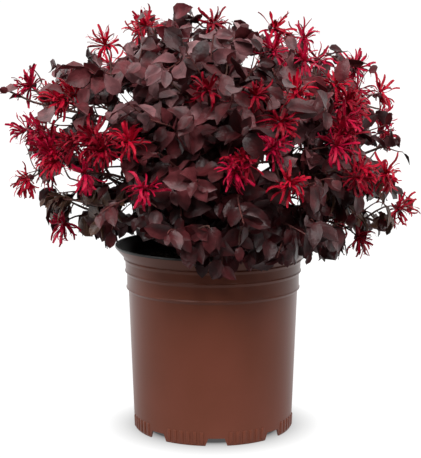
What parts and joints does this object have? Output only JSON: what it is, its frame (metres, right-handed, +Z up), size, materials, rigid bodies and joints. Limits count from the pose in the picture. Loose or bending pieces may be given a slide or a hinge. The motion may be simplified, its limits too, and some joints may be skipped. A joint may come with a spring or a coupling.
{
  "type": "potted flowering shrub",
  "caption": "Potted flowering shrub: purple oval leaves and crimson ribbon-petalled tufts in a rounded crown over a tapered round nursery pot with a flared rim.",
  "frame": {"origin": "middle of the pot's flat underside", "axes": "+Z up along the pot's axis, the plant's front towards -Y, its right as seen from the front towards +X"},
  "size_m": [0.4788, 0.4461, 0.4846],
  "materials": {
    "pot_plastic": "semi-gloss",
    "potting_mix": "rough",
    "bark": "rough",
    "foliage": "satin"
  },
  "bodies": {
    "root": {"pot": "pot_plastic", "potting_mix": "potting_mix", "main_stem": "bark", "bough_right": "bark", "bough_back_right": "bark", "bough_back_left": "bark", "bough_left": "bark", "bough_front_left": "bark", "bough_front_right": "bark", "bough_top": "bark", "side_limb_right_back": "bark", "side_limb_back": "bark", "side_limb_left_back": "bark", "side_limb_left_front": "bark", "side_limb_front": "bark", "side_limb_right_front": "bark", "foliage_low_right": "foliage", "foliage_low_back_right": "foliage", "foliage_low_back_left": "foliage", "foliage_low_left": "foliage", "foliage_low_front_left": "foliage", "foliage_low_front_right": "foliage", "foliage_high_right_back": "foliage", "foliage_high_back": "foliage", "foliage_high_left_back": "foliage", "foliage_high_left_front": "foliage", "foliage_high_front": "foliage", "foliage_high_right_front": "foliage", "foliage_top": "foliage"}
  },
  "joints": []
}
